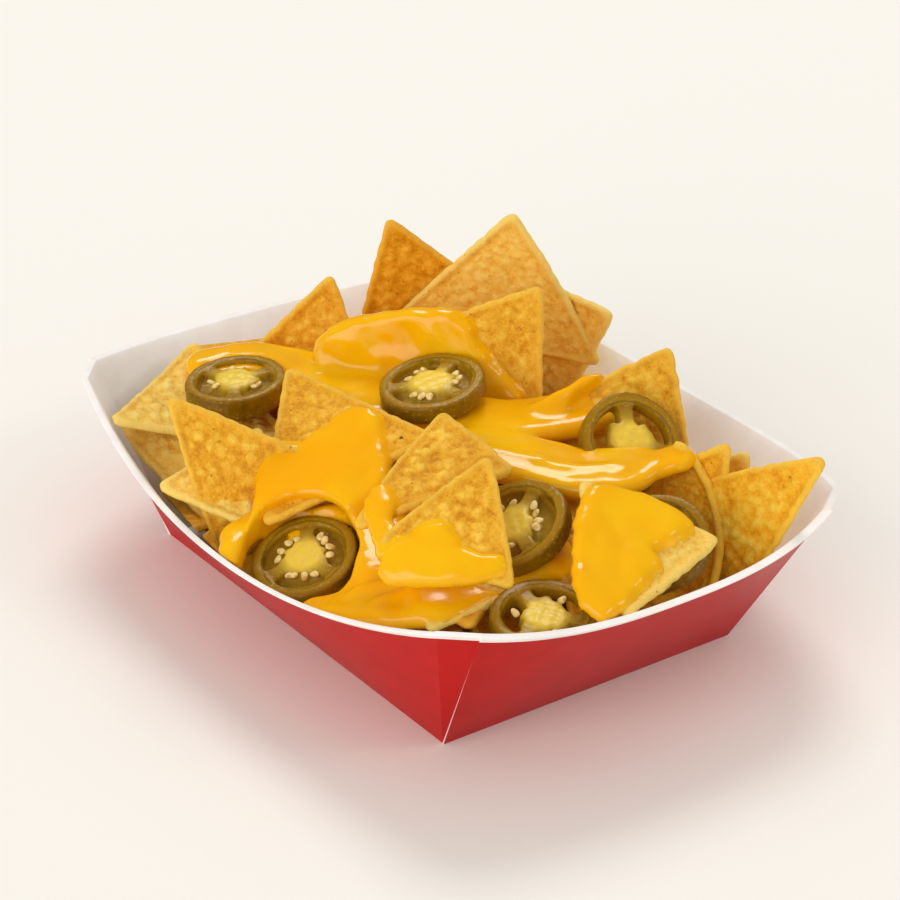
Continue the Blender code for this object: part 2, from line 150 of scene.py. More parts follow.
def roundedIn(share):
    share = np.clip(share, 0, 1)
    return np.sqrt(share * (2 - share))


def gridOver(low, high, cell):
    axes = [np.arange(start, end, cell) for start, end in zip(low, high)]
    return axes, np.meshgrid(*axes, indexing="ij")


def surfaceNet(values, origin, cell):
    # A quad skin where the field is zero: one point in each cell that the surface crosses
    inside = values < 0
    counts = np.array(values.shape) - 1
    total = np.zeros(tuple(counts), np.int8)
    corners = [(x, y, z) for x in (0, 1) for y in (0, 1) for z in (0, 1)]
    for x, y, z in corners:
        total += inside[x:x + counts[0], y:y + counts[1], z:z + counts[2]]
    crossed = (total > 0) & (total < 8)
    places = np.argwhere(crossed)
    number = np.full(tuple(counts), -1, np.int64)
    number[crossed] = np.arange(len(places))
    reach, hits = np.zeros((len(places), 3)), np.zeros(len(places))
    for start in corners:
        for axis in range(3):
            if start[axis]:
                continue
            end = tuple(value + (index == axis) for index, value in enumerate(start))
            one, two = values[tuple((places + start).T)], values[tuple((places + end).T)]
            cut = (one < 0) != (two < 0)
            share = np.where(cut, one / np.where(cut, one - two, 1), 0)
            spot = np.array(start, float) + share[:, None] * (np.array(end) - start)
            reach += spot * cut[:, None]
            hits += cut
    points = (places + reach / hits[:, None]) * cell + origin
    faces = []
    for axis in range(3):
        first, second = (axis + 1) % 3, (axis + 2) % 3
        here = [slice(None)] * 3
        there = [slice(None)] * 3
        here[axis], there[axis] = slice(0, -1), slice(1, None)
        change = inside[tuple(here)] != inside[tuple(there)]
        spots = np.argwhere(change)
        keep = (spots[:, first] > 0) & (spots[:, second] > 0)
        keep &= (spots[:, first] < counts[first]) & (spots[:, second] < counts[second])
        spots = spots[keep]
        quad = []
        for back, aside in ((1, 1), (0, 1), (0, 0), (1, 0)):
            cellSpot = spots.copy()
            cellSpot[:, first] -= back
            cellSpot[:, second] -= aside
            quad.append(number[tuple(cellSpot.T)])
        quad = np.stack(quad, axis=1)
        outward = inside[tuple(spots.T)]
        faces.append(np.where(outward[:, None], quad, quad[:, ::-1]))
    return points, np.concatenate(faces)


def quadEdges(faces):
    return np.concatenate([faces[:, [side, (side + 1) % 4]] for side in range(4)])


def relaxed(points, faces, rounds):
    ends = quadEdges(faces)
    ends = np.concatenate([ends, ends[:, ::-1]])
    counts = np.maximum(np.bincount(ends[:, 0], minlength=len(points)), 1)
    for _ in range(rounds):
        mean = [np.bincount(ends[:, 0], side[ends[:, 1]], len(points)) / counts for side in points.T]
        points = points + (np.stack(mean, axis=1) - points) * 0.5
    return points


def pointNormals(points, faces):
    across = np.cross(points[faces[:, 2]] - points[faces[:, 0]], points[faces[:, 3]] - points[faces[:, 1]])
    normals = np.zeros_like(points)
    for corner in range(4):
        for axis in range(3):
            normals[:, axis] += np.bincount(faces[:, corner], across[:, axis], len(points))
    return normals / np.maximum(np.linalg.norm(normals, axis=1), 1e-9)[:, None]


def mainBody(points, faces, least):
    # Drops loose scraps of fewer points than the least
    label = np.arange(len(points))
    ends = quadEdges(faces)
    while True:
        low = np.minimum(label[ends[:, 0]], label[ends[:, 1]])
        before = label.copy()
        np.minimum.at(label, ends[:, 0], low)
        np.minimum.at(label, ends[:, 1], low)
        label = label[label]
        if (label == before).all():
            break
    sizes = np.bincount(label, minlength=len(points))
    kept = sizes[label] >= least
    renumber = np.cumsum(kept) - 1
    return points[kept], renumber[faces[kept[faces[:, 0]]]]


# The tray: clay-coated solid bleached board, printed red outside and left white inside, die-cut,
# folded and glued. The coating gives a satin sheen and the cut edges show white.
trayForm = {
    "foot": (66.0, 48.5), "top": (89.0, 65.0), "height": 49.5, "board": 1.0, "rimWidth": 2.2,
    "rimStart": 0.95, "rimLean": 0.1, "flapStep": 0.7, "longReach": 0.95, "shortReach": 0.89,
    "columns": 72, "red": "#C40E0A", "redDeep": "#B80C08", "white": "#FFFCF8", "whiteDeep": "#F8F2EC",
    "redRoughness": 0.38, "whiteRoughness": 0.55,
}
# Each wall: its bow outwards, the dip of its rim, and how flat the middle of both curves is
trayWalls = {
    "front": (11.0, 17.0, 2.1), "right": (12.0, 5.5, 2.6),
    "back": (19.5, 9.0, 4.0), "left": (17.5, 7.0, 2.6),
}


def rimPoint(wall, t):
    bow, dip, power = trayWalls[wall]
    swell = 1 - abs(t) ** power
    z = trayForm["height"] - dip * swell
    along, across = trayForm["top"]
    if wall in ("front", "back"):
        return (along * t, (across + bow * swell) * (-1 if wall == "front" else 1), z)
    return ((along + bow * swell) * (-1 if wall == "left" else 1), across * t, z)


def footPoint(wall, t):
    along, across = trayForm["foot"]
    if wall in ("front", "back"):
        return (along * t, across * (-1 if wall == "front" else 1), 0.0)
    return (along * (-1 if wall == "left" else 1), across * t, 0.0)


def wallRoom(x, y, z):
    # How far points are inside the nearest wall's outer face, and large above the rim
    foot, top = trayForm["foot"], trayForm["top"]
    room = np.full(np.broadcast(x, y, z).shape, top[0])
    share = np.clip(z / trayForm["height"], 0, 1)
    for wall in trayWalls:
        axis = 1 if wall in ("front", "back") else 0
        along, across = (x, y) if axis == 1 else (y, x)
        side = -1 if wall in ("front", "left") else 1
        half = foot[1 - axis] + (top[1 - axis] - foot[1 - axis]) * share
        rim = rimPoint(wall, np.clip(along / half, -1, 1))
        rise = z / rim[2]
        limit = foot[axis] + (np.abs(rim[axis]) - foot[axis]) * rise
        room = np.where(rise <= 1, np.minimum(room, limit - side * across), room)
    return np.minimum(room, z)


def boardMaterial(name, side):
    # Press mottle is about 8 mm across, and the board's fibre, really 0.1 mm, is drawn at 0.5 mm to show
    stops = [(0.3, trayForm[f"{side}Deep"]), (0.7, trayForm[side])]
    surface = {"Roughness": trayForm[f"{side}Roughness"], "IOR": 1.5, "Specular IOR Level": 0.15}
    return mottledMaterial(name, stops, (125, 3), (2000, 0.12, 0.0002), surface)


def trayShape():
    columns = []
    for wall in ("front", "right", "back", "left"):
        longWall = wall in ("front", "back")
        reach = trayForm["longReach"] if longWall else trayForm["shortReach"]
        sign = 1 if wall in ("front", "right") else -1
        count = trayForm["columns"]
        for index in range(count + 1):
            t = sign * (2 * index / count - 1)
            foot, rim = footPoint(wall, t), rimPoint(wall, t * reach)
            if not longWall and index == 0:
                columns.append((foot, rim, 0.0))
            columns.append((foot, rim, 0.0 if longWall else trayForm["flapStep"]))
            if not longWall and index == count:
                columns.append((foot, rim, 0.0))
    foot, rim, step = (np.array(part) for part in zip(*columns))
    # A hair apart, so that doubled columns still have a direction
    flat = rim[:, :2] + 1e-6 * np.arange(len(rim))[:, None]
    along = np.roll(flat, -1, axis=0) - np.roll(flat, 1, axis=0)
    out = np.zeros_like(rim)
    out[:, 0], out[:, 1] = along[:, 1], -along[:, 0]
    out /= np.linalg.norm(out, axis=1)[:, None]
    board, width, start = trayForm["board"], trayForm["rimWidth"], trayForm["rimStart"]
    lean = board - width + trayForm["rimLean"]
    # Share of the height, offset outwards, and whether the lapped panel steps out there
    profile = [(share, lean * share / start, 1) for share in np.linspace(0, start, 8)]
    profile += [(start + 0.006, lean + 0.5, 1), (0.972, -0.35, 1), (0.988, -0.05, 1), (0.997, -0.15, 1)]
    profile += [(1.0, -0.5, 1), (1.0, -1.0, 0.5), (1.0, -width + 0.5, 0), (0.997, -width + 0.15, 0)]
    profile += [(0.985, -width, 0)]
    profile += [(start * share, -board - (width - board) * share ** 4, 0) for share in np.linspace(1, 0, 8)]
    redRings = 8
    points, faces, kinds = [], [], []
    for share, offset, lapped in profile:
        ring = foot + (rim - foot) * share + out * (offset + step * lapped)[:, None]
        points.append(ring)
    points[-1][:, 2] = board
    count = len(columns)
    for level in range(len(profile) - 1):
        for index in range(count):
            low, side = level * count + index, level * count + (index + 1) % count
            faces.append((low, side, side + count, low + count))
            narrow = step[index] != step[(index + 1) % count]
            kinds.append(0 if level < redRings - 1 and not narrow else 1)
    last = (len(profile) - 1) * count
    faces += [tuple(range(count))[::-1], tuple(range(last, last + count))]
    kinds += [0, 1]
    return np.concatenate(points), faces, kinds


boards = [boardMaterial("redPrintedBoard", "red"), boardMaterial("whiteClayBoard", "white")]
points, faces, kinds = trayShape()
tray = makePiece("paperTray", points, faces, boards, ["tray"], kinds)
tray.data.set_sharp_from_angle(angle=math.radians(22))
print("tray folded")


# Tortilla chips: nixtamalised masa, sheeted, cut in triangles, toasted and fried in oil.
# Blisters are painted paler than the hollows between them, a painted highlight on the domes and painted shade
# in the hollows, and the cut edge makes a pale raised rim.
chipForm = {
    "thickness": 2.0, "cornerRadius": 1.9, "sideBulge": 0.5, "ragged": 0.4, "rows": 84,
    "edgeDensity": 0.35, "edgeRound": 0.9, "rimInset": 1.1, "rimWidth": 0.7, "rimHeight": 0.3,
    "grooveInset": 2.7, "grooveWidth": 0.8, "grooveDepth": 0.25,
    "blisterSize": 3.2, "blisterHeight": 0.75, "pimpleSize": 1.6, "pimpleHeight": 0.45,
    "patchSize": 11.0, "grainSize": 1.3, "grainHeight": 0.16, "warpSize": 20.0, "warpHeight": 0.6,
    "wallRoom": 2.8, "floorRoom": 2.0,
}
# Tones are partly each chip's own toasting and partly painted light and shade: the pale tone is painted light
# on back_tall, back_right and left_low, the darkest tone is painted shade on back_mid, and amber is painted
# reflected light on right_curved's shaded face
masaTones = {
    "pale": ("#FFE078", "#FACA54", "#E8AA34"), "golden": ("#FFCE48", "#EBA81C", "#D08608"),
    "amber": ("#FFD24A", "#FAB41C", "#E09008"), "toastedAndShaded": ("#FCC03A", "#E79E0C", "#C47E04"),
}
# Tip; facing, lean and turn from uphill; width and length; direction and radius of the bend; tone, which is
# partly painted light and shade
chips = {
    "centre_front": ((47, -22, 67), -50, 40, -10, 40, 34, 0, 0, "golden"),
    "centre_back": ((32, -53, 49), -45, 20, 140, 30, 46, 0, -250, "golden"),
    "left_front": ((-37, -66, 61), -40, 70, 45, 44, 48, 100, -75, "golden"),
    "front_edge": ((67, -7, 38), -40, 10, -80, 44, 44, 0, -250, "pale"),
    "right_front": ((88, 22, 48), -10, 25, -100, 46, 35, 0, 0, "pale"),
    "right": ((93, 53, 65), -75, 80, -40, 46, 56, 30, -110, "amber"),
    "right_curved": ((60, 31, 62), -95, 80, 0, 54, 49, 30, 30, "amber"),
    "right_back": ((26, 57, 69), -40, 55, -25, 60, 42, 0, 0, "golden"),
    "back_sauced": ((-5, 35, 81), -50, 80, -30, 64, 49, 0, 0, "golden"),
    "back_tall": ((-41, 53, 86), -50, 95, -5, 66, 46, 30, 250, "pale"),
    "back_mid": ((-74, 33, 77), -35, 90, 20, 60, 49, 0, 0, "toastedAndShaded"),
    "back_left": ((-70, 10, 66), -30, 75, -15, 58, 48, 0, 0, "golden"),
    "back_right": ((-18, 73, 58), -65, 90, -60, 57, 40, 150, 100, "pale"),
    "mid": ((-36, -28, 60), -65, 30, 50, 54, 47, 40, 200, "golden"),
    "left_flat": ((-66, -67, 42), 0, 10, 90, 54, 46, 0, 150, "pale"),
    "left_low": ((-77, -60, 34), -45, 30, 80, 50, 42, 0, 0, "pale"),
    "left_back": ((-86, -29, 46), 125, 5, -75, 47, 49, 0, 0, "golden"),
    "left_bit": ((-35, -71, 36), -50, 30, 105, 36, 31, 0, 0, "pale"),
    "right_low": ((86, 18, 42), -50, 15, -70, 50, 38, 0, 0, "toastedAndShaded"),
    "right_small": ((69, 41, 62), -60, 90, -30, 42, 46, 0, 0, "amber"),
    "right_pale": ((64, 53, 54), -75, 90, -30, 38, 42, 0, 0, "pale"),
    "front_low": ((70, -44, 35), -140, 10, -70, 42, 42, 0, 0, "toastedAndShaded"),
}


def masaMaterial(tone):
    light, middle, deep = masaTones[tone]
    material, tree = startMaterial(f"friedMasa_{tone}")
    coords = addNode(tree, "TexCoord").outputs["Object"]
    blister = addNode(tree, "Attribute", attribute_name="blister").outputs["Fac"]
    rim = addNode(tree, "Attribute", attribute_name="rim").outputs["Fac"]
    # Toasting varies over about 9 mm, patches of 3 mm lie in it, and the ground corn's grain is about 0.8 mm
    toast, patch, grain = (
        addNode(tree, "TexNoise", {"Vector": coords, "Scale": scale, "Detail": detail, "Roughness": rough})
        for scale, detail, rough in ((110, 2, 0.5), (340, 3, 0.7), (1250, 3, 0.7))
    )
    # Painted highlight and shade: the taller a blister, the paler its colour, so the hollows between blisters
    # read darker
    share = addNode(tree, "Math", {0: blister, 1: 0.22}, operation="MULTIPLY")
    for layer, weight in ((toast, 0.25), (patch, 0.6), (grain, 0.4)):
        share = addNode(tree, "Math", {0: layer, 1: weight, 2: share}, operation="MULTIPLY_ADD")
    body = addNode(tree, "ValToRGB", {"Fac": share}, stops=[(0.5, deep), (0.66, middle), (0.9, light)])
    colour = addNode(tree, "Mix", {0: rim, 6: body, 7: linearColour(light)}, data_type="RGBA").outputs[2]
    # Flecks of scorched hull: many of about 0.6 mm in paler brown, and a few of over 1 mm in dark brown
    waves = {0: grain.outputs["Color"], 1: (0.0009, 0.0009, 0.0009), 2: coords}
    wavy = addNode(tree, "VectorMath", waves, operation="MULTIPLY_ADD")
    flecks = ((330, 0.62, 0.13, "#8A4E0C", 0.55), (105, 0.72, 0.075, "#4A2608", 0.85))
    for scale, chance, size, shade, weight in flecks:
        cells = addNode(tree, "TexVoronoi", {"Vector": wavy, "Scale": scale})
        chosen = addNode(tree, "Math", {0: cells.outputs["Color"], 1: chance}, operation="GREATER_THAN")
        small = addNode(tree, "MapRange", {
            "Value": cells, "From Min": size * 0.6, "From Max": size, "To Min": weight, "To Max": 0.0,
        })
        fleck = addNode(tree, "Math", {0: chosen, 1: small}, operation="MULTIPLY")
        mixed = addNode(tree, "Mix", {0: fleck, 6: colour, 7: linearColour(shade)}, data_type="RGBA")
        colour = mixed.outputs[2]
    rough = addNode(tree, "MapRange", {"Value": patch, "To Min": 0.4, "To Max": 0.7})
    relief = addNode(tree, "Math", {0: patch, 1: 1.2, 2: grain}, operation="MULTIPLY_ADD")
    addNode(tree, "BsdfPrincipled", {
        "Base Color": colour, "Roughness": rough, "IOR": 1.45, "Specular IOR Level": 0.25,
        "Subsurface Weight": 0.08, "Subsurface Radius": (1.0, 0.6, 0.2), "Subsurface Scale": 0.0015,
        "Normal": addNode(tree, "Bump", {"Height": relief, "Strength": 0.7, "Distance": 0.0005}),
    })
    return material


def triangleLattice(rows):
    spots = [(i, j, rows - i - j) for i in range(rows + 1) for j in range(rows + 1 - i)]
    number = {spot[:2]: index for index, spot in enumerate(spots)}
    faces = []
    for i in range(rows):
        for j in range(rows - i):
            faces.append((number[i, j], number[i + 1, j], number[i, j + 1]))
            if i + j < rows - 1:
                faces.append((number[i + 1, j], number[i + 1, j + 1], number[i, j + 1]))
    border = [number[i, 0] for i in range(rows)] + [number[rows - i, i] for i in range(rows)]
    border += [number[0, rows - i] for i in range(rows)]
    return np.array(spots) / rows, np.array(faces), np.array(border)


def sharpCorners(width, length):
    return np.array([(length * 2 / 3, 0), (-length / 3, width / 2), (-length / 3, -width / 2)])


def roundedOutline(width, length):
    radius, bulge = chipForm["cornerRadius"], chipForm["sideBulge"]
    inner = [corner * (1 - 2 * radius / np.hypot(*corner)) for corner in sharpCorners(width, length)]
    points = []
    for index, corner in enumerate(inner):
        after, before = inner[(index + 1) % 3], inner[index - 1]
        facing = math.atan2(*(after - corner)[::-1]) - math.pi / 2
        start = math.atan2(*(corner - before)[::-1]) - math.pi / 2
        for angle in start + (facing - start) % (2 * math.pi) * np.linspace(0, 1, 9):
            points.append(corner + radius * np.array((math.cos(angle), math.sin(angle))))
        side, spoke = after - corner, np.array((math.cos(facing), math.sin(facing)))
        first = points[-1]
        for share in np.linspace(0.1, 0.9, 9):
            points.append(first + side * share + spoke * bulge * math.sin(math.pi * share))
    return np.array(points)


def turned(points, degrees):
    angle = math.radians(degrees)
    x, y, z = points.T
    along = x * math.cos(angle) + y * math.sin(angle)
    return np.stack([along, y * math.cos(angle) - x * math.sin(angle), z], axis=1)


def bentRound(points, direction, radius):
    if not radius:
        return points
    along, across, height = turned(points, direction).T
    depth = radius - height
    rolled, height = depth * np.sin(along / radius), radius - depth * np.cos(along / radius)
    return turned(np.stack([rolled, across, height], axis=1), -direction)


def flattened(points, direction, radius):
    # Undoes bentRound
    if not radius:
        return points
    rolled, across, height = turned(points, direction).T
    side = math.copysign(1, radius)
    along = radius * np.arctan2(rolled * side, (radius - height) * side)
    depth = side * np.hypot(rolled, radius - height)
    return turned(np.stack([along, across, radius - depth], axis=1), -direction)


def bentTip(length, direction, radius):
    return bentRound(np.array([(length * 2 / 3 - chipForm["cornerRadius"], 0.0, 0.0)]), direction, radius)


def chipPlace(name):
    tip, facing, lean, turn = chips[name][:4]
    return placedAt(tip, facing, lean, turn + 180)


def chipSpace(name, spots):
    # Places in the tray, seen in a chip's own flat dough: x to its tip, z up from its middle
    bend = chips[name][6:8]
    local = moved(spots, np.linalg.inv(chipPlace(name)))
    return flattened(local + bentTip(chips[name][5], *bend), *bend)


def chipShape(width, length, direction, radius, seed, rows):
    weights, faces, border = triangleLattice(rows)
    sharp = sharpCorners(width, length)
    flat = weights @ sharp
    ratio = 1 - 3 * weights.min(axis=1)
    angle = np.arctan2(flat[:, 1], flat[:, 0])
    outline = roundedOutline(width, length)
    outlineAngle = np.arctan2(outline[:, 1], outline[:, 0])
    reach = np.interp(angle, outlineAngle, np.hypot(*outline.T), period=2 * math.pi)
    spread = ratio * (1 + chipForm["edgeDensity"] * (1 - ratio))
    spoke = np.stack([np.cos(angle), np.sin(angle)], axis=1)
    ragged = smoothNoise(np.column_stack([spoke * reach[:, None], np.zeros(len(angle))]), 3.2, seed + 3)
    flat = spoke * (spread * (reach - chipForm["ragged"] * (1 + ragged)))[:, None]
    perimeter = np.linalg.norm(sharp - np.roll(sharp, 1, axis=0), axis=1).sum()
    edge = (1 - spread) * width * length / perimeter
    half = chipForm["thickness"] / 2
    rounding = 1 - np.clip(edge / chipForm["edgeRound"], 0, 1)
    profile = half * (0.5 + 0.5 * np.sqrt(1 - rounding**2))
    rim = np.exp(-(((edge - chipForm["rimInset"]) / chipForm["rimWidth"]) ** 2))
    groove = np.exp(-(((edge - chipForm["grooveInset"]) / chipForm["grooveWidth"]) ** 2))
    inner = np.clip((edge - 1.5) / 2.5, 0, 1)
    plane = np.column_stack([flat, np.zeros(len(flat))])
    warp = smoothNoise(plane, chipForm["warpSize"], seed) * chipForm["warpHeight"]
    sides, traits = [], {"blister": [], "rim": []}
    for side in (1, -1):
        patch = np.clip(0.75 + 0.9 * smoothNoise(plane, chipForm["patchSize"], seed + side), 0.25, 1.3)
        domes = blisterNoise(plane + [0, 0, side], chipForm["blisterSize"], seed) * patch
        pimples = blisterNoise(plane - [0, 0, side], chipForm["pimpleSize"], seed + 5) * (1.3 - patch)
        grain = smoothNoise(plane, chipForm["grainSize"], seed + 2 * side) * chipForm["grainHeight"]
        relief = domes * chipForm["blisterHeight"] + pimples * chipForm["pimpleHeight"] + grain - 0.3
        height = profile + rim * chipForm["rimHeight"] - groove * chipForm["grooveDepth"] + inner * relief
        sides.append(np.column_stack([flat, side * height + warp]))
        # Dome height, kept for the painted highlight on blisters and the painted shade between them
        traits["blister"].append((domes + 0.5 * pimples) * inner)
        traits["rim"].append(np.clip(1.1 - edge / 2.2, 0, 1) * 0.7)
    count = len(flat)
    band = np.column_stack([border + count, np.roll(border, -1) + count, np.roll(border, -1), border])
    skin = faces.tolist() + (faces[:, ::-1] + count).tolist() + band.tolist()
    shape = bentRound(np.concatenate(sides), direction, radius) - bentTip(length, direction, radius)
    return shape, skin, {key: np.concatenate(values) for key, values in traits.items()}


def insideTray(points):
    # What would pass through a wall or the floor is pressed against its inner face
    for _ in range(3):
        here = wallRoom(*points.T)
        ahead = [wallRoom(*(points + step).T) for step in ((0.2, 0, 0), (0, 0.2, 0))]
        slope = np.stack([np.clip((value - here) / 0.2, -1, 1) for value in ahead], axis=1)
        slope /= np.maximum(np.linalg.norm(slope, axis=1), 0.5)[:, None]
        points[:, :2] += slope * (np.maximum(chipForm["wallRoom"] - here, 0) * 0.96)[:, None]
    points[:, 2] += np.maximum(chipForm["floorRoom"] - points[:, 2], 0) * 0.96
    return points


masa = {tone: masaMaterial(tone) for tone in masaTones}
for seed, (name, (*_, width, length, direction, radius, tone)) in enumerate(chips.items()):
    points, faces, traits = chipShape(width, length, direction, radius, seed + 1.37, chipForm["rows"])
    points = insideTray(moved(points, chipPlace(name)))
    makePiece(f"tortilla_{name}", points, faces, [masa[tone]], [f"chip_{name}"], traits=traits)
print(len(chips), "chips fried")


# Pepper slices: green chilli, sliced across and pickled in brine, which turns the flesh olive.
# The skin is darker and glossy, the core is paler and wet, and seeds sit in the three cavities.
sliceForm = {
    "cell": 0.5, "wall": 3.7, "core": 6.3, "rib": 3.6, "round": 0.8, "blend": 1.3, "step": 0.35,
    "skin": "#7A5A00", "flesh": "#9A6E04", "fleshLight": "#AC8010", "line": "#7E6206",
    "coreDeep": "#B89428", "coreColour": "#F2CE48", "wet": "#D6AE50",
    "seed": "#F8DC92", "seedDeep": "#D8A648", "seedSize": (1.35, 1.05, 0.6),
}
# Centre of the upper face; heading, lean and turn; radius, thickness, room kept clear of sauce,
# depth of the floor of its cavities, and seeds in each cavity
slices = {
    "left": ((-57, -32, 50), -110, 5, 10, 14.7, 7.0, 6.0, 3.0, 2),
    "back": ((-9, 1, 60), -100, 10, 40, 15.2, 5.5, 3.0, 3.0, 3),
    "right_back": ((41, 32, 54), -15, 40, 0, 14.7, 5.5, 0.0, 9.0, 0),
    "centre": ((52, -18, 49), -90, 30, 20, 15.5, 5.5, 5.0, 3.5, 4),
    "front": ((10, -54, 31), -75, 25, 30, 14.7, 6.0, 7.0, 3.0, 4),
    "front_right": ((80, -28, 39), -40, 12, 30, 14.2, 5.0, 3.0, 9.0, 1),
    "right": ((75, 11, 46), -60, 30, 80, 15.0, 5.5, 0.0, 9.0, 2),
}


def pepperMaterial():
    material, tree = startMaterial("brinedPepper")
    coords = addNode(tree, "TexCoord").outputs["Object"]
    depth = addNode(tree, "Attribute", attribute_name="depth").outputs["Fac"]
    cells = addNode(tree, "TexNoise", {"Vector": coords, "Scale": 420, "Detail": 4, "Roughness": 0.65})
    shifted = addNode(tree, "Math", {0: cells, 1: 0.1, 2: depth}, operation="MULTIPLY_ADD")
    # From the skin inwards: skin, flesh, the fine line of its vessels, flesh, ribs, core
    places = (0.06, 0.1, 0.22, 0.255, 0.29, 0.36, 0.58, 0.76)
    layers = ("skin", "flesh", "fleshLight", "line", "fleshLight", "flesh", "coreDeep", "coreColour")
    stops = [(place, sliceForm[layer]) for place, layer in zip(places, layers)]
    colour = addNode(tree, "ValToRGB", {"Fac": shifted}, stops=stops)
    # Oil and brine stand on the flesh in specks of about 0.5 mm
    speckle = addNode(tree, "TexVoronoi", {"Vector": coords, "Scale": 850})
    bright = addNode(tree, "MapRange", {
        "Value": speckle, "From Min": 0.12, "From Max": 0.34, "To Min": 0.4, "To Max": 0.0,
    })
    chosen = addNode(tree, "Math", {0: speckle.outputs["Color"], 1: 0.45}, operation="GREATER_THAN")
    bright = addNode(tree, "Math", {0: bright, 1: chosen}, operation="MULTIPLY")
    mixed = addNode(tree, "Mix", {0: bright, 6: colour, 7: linearColour(sliceForm["wet"])}, data_type="RGBA")
    addNode(tree, "BsdfPrincipled", {
        "Base Color": mixed.outputs[2], "Roughness": 0.3, "IOR": 1.36, "Specular IOR Level": 0.45,
        "Subsurface Weight": 0.2, "Subsurface Radius": (1.0, 0.8, 0.2), "Subsurface Scale": 0.0012,
        "Normal": addNode(tree, "Bump", {"Height": cells, "Strength": 0.5, "Distance": 0.0005}),
    })
    return material


def seedMaterial():
    # Chilli seed: a papery, slightly waxy coat
    stops = [(0.3, sliceForm["seedDeep"]), (0.55, sliceForm["seed"])]
    return mottledMaterial("waxySeedCoat", stops, (700, 2), None, {
        "Roughness": 0.35, "IOR": 1.45, "Specular IOR Level": 0.4,
        "Subsurface Weight": 0.15, "Subsurface Radius": (1.0, 0.8, 0.3), "Subsurface Scale": 0.001,
    })


def sliceShape(radius, thickness, floor, seed):
    cell, margin = sliceForm["cell"], 2.0
    half = radius + margin
    low = np.array([-half, -half, -thickness - margin])
    x, y, z = gridOver(low, (half, half, margin), cell)[1]
    away, turn = np.hypot(x, y), np.arctan2(y, x)
    wave = np.sin(2 * turn + seed) * 0.3 + np.sin(5 * turn + 2 * seed) * 0.12
    outer = away - (radius - 0.4 + wave)
    wall = np.maximum(outer, radius - sliceForm["wall"] + 1.2 * wave - away)
    lobes = 0.7 * np.sin(3 * turn + seed) + 0.45 * np.sin(8 * turn + seed) + 0.3 * np.sin(13 * turn - seed)
    core = away - sliceForm["core"] - lobes
    solid = smoothLeast(wall, core, sliceForm["blend"])
    for index in range(3):
        angle = math.pi / 3 + index * math.tau / 3 + 0.12 * math.sin(seed + 2 * index)
        along = x * math.cos(angle) + y * math.sin(angle)
        aside = np.abs(y * math.cos(angle) - x * math.sin(angle))
        rib = np.maximum(aside - sliceForm["rib"] / 2 - 0.12 * np.abs(along - 6), -along)
        solid = smoothLeast(solid, np.maximum(rib, outer), sliceForm["blend"])
    if floor < thickness:
        solid = smoothLeast(solid, np.maximum(z + floor, away - radius + 2), 1.2)
    # The soft core stands a little proud of the cut and is lumpy, and the ribs lie lower than the wall
    crown = 0.6 * np.exp(-((away / 6) ** 4)) * (1 + 0.35 * np.sin(1.3 * x + seed) * np.sin(1.5 * y - seed))
    sunk = sliceForm["step"] * np.clip((radius - sliceForm["wall"] - away) / 0.8, 0, 1)
    slab = np.maximum(z - crown + sunk + 0.1, -z - thickness + 0.1)
    solid = smoothMost(np.maximum(solid, outer), slab, sliceForm["round"])
    points, faces = surfaceNet(solid, low, cell)
    points = relaxed(points, faces, 2)
    inward = np.clip(1 - np.hypot(points[:, 0], points[:, 1]) / radius, 0, 1)
    points = points + pointNormals(points, faces) * (0.14 * smoothNoise(points, 1.2, seed))[:, None]
    return points, faces, inward


def seedShape(turns=12, rows=8):
    # A flat tear drop
    long, wide, thick = sliceForm["seedSize"]
    points, faces = [], []
    for row in range(rows + 1):
        share = math.pi * row / rows
        swell = math.sin(share) ** 0.8
        for turn in range(turns):
            angle = math.tau * turn / turns
            across = wide * swell * (1 - 0.25 * math.cos(share))
            points.append((long * math.cos(share), across * math.cos(angle), thick * swell * math.sin(angle)))
    for row in range(rows):
        for turn in range(turns):
            low, side = row * turns + turn, row * turns + (turn + 1) % turns
            faces.append((low, side, side + turns, low + turns))
    return np.array(points), np.array(faces)


def scatteredSeeds():
    random = np.random.default_rng(5)
    shape, skin = seedShape()
    points, faces = [], []
    for *where, _, _, _, _, seeds in slices.values():
        sliceFrame = placedAt(*where)
        for cavity in range(3):
            middle = math.tau / 3 * (cavity + 1)
            for place in range(seeds):
                angle = middle + (place - (seeds - 1) / 2) * 0.36 + random.uniform(-0.08, 0.08)
                reach = sliceForm["core"] + random.uniform(0.3, 1.5)
                spot = (reach * math.cos(angle), reach * math.sin(angle), random.uniform(-1.3, -0.1))
                tilt = random.uniform(-35, 35)
                own = placedAt(spot, math.degrees(angle) + random.uniform(-40, 40), tilt, 0)
                faces.append(skin + len(points) * len(shape))
                points.append(moved(moved(shape, own), sliceFrame))
    return np.concatenate(points), np.concatenate(faces)


brinedPepper = [pepperMaterial()]
for seed, (name, (*where, radius, thickness, _, floor, _)) in enumerate(slices.items()):
    points, faces, depth = sliceShape(radius, thickness, floor, seed + 0.7)
    points, traits = insideTray(moved(points, placedAt(*where))), {"depth": depth}
    nodes = [f"pepper_{name}"]
    makePiece(f"chilli_{name}", points, faces.tolist(), brinedPepper, nodes, traits=traits)
points, faces = scatteredSeeds()
makePiece("chilliSeeds", points, faces.tolist(), [seedMaterial()], ())
print(len(slices), "slices cut")


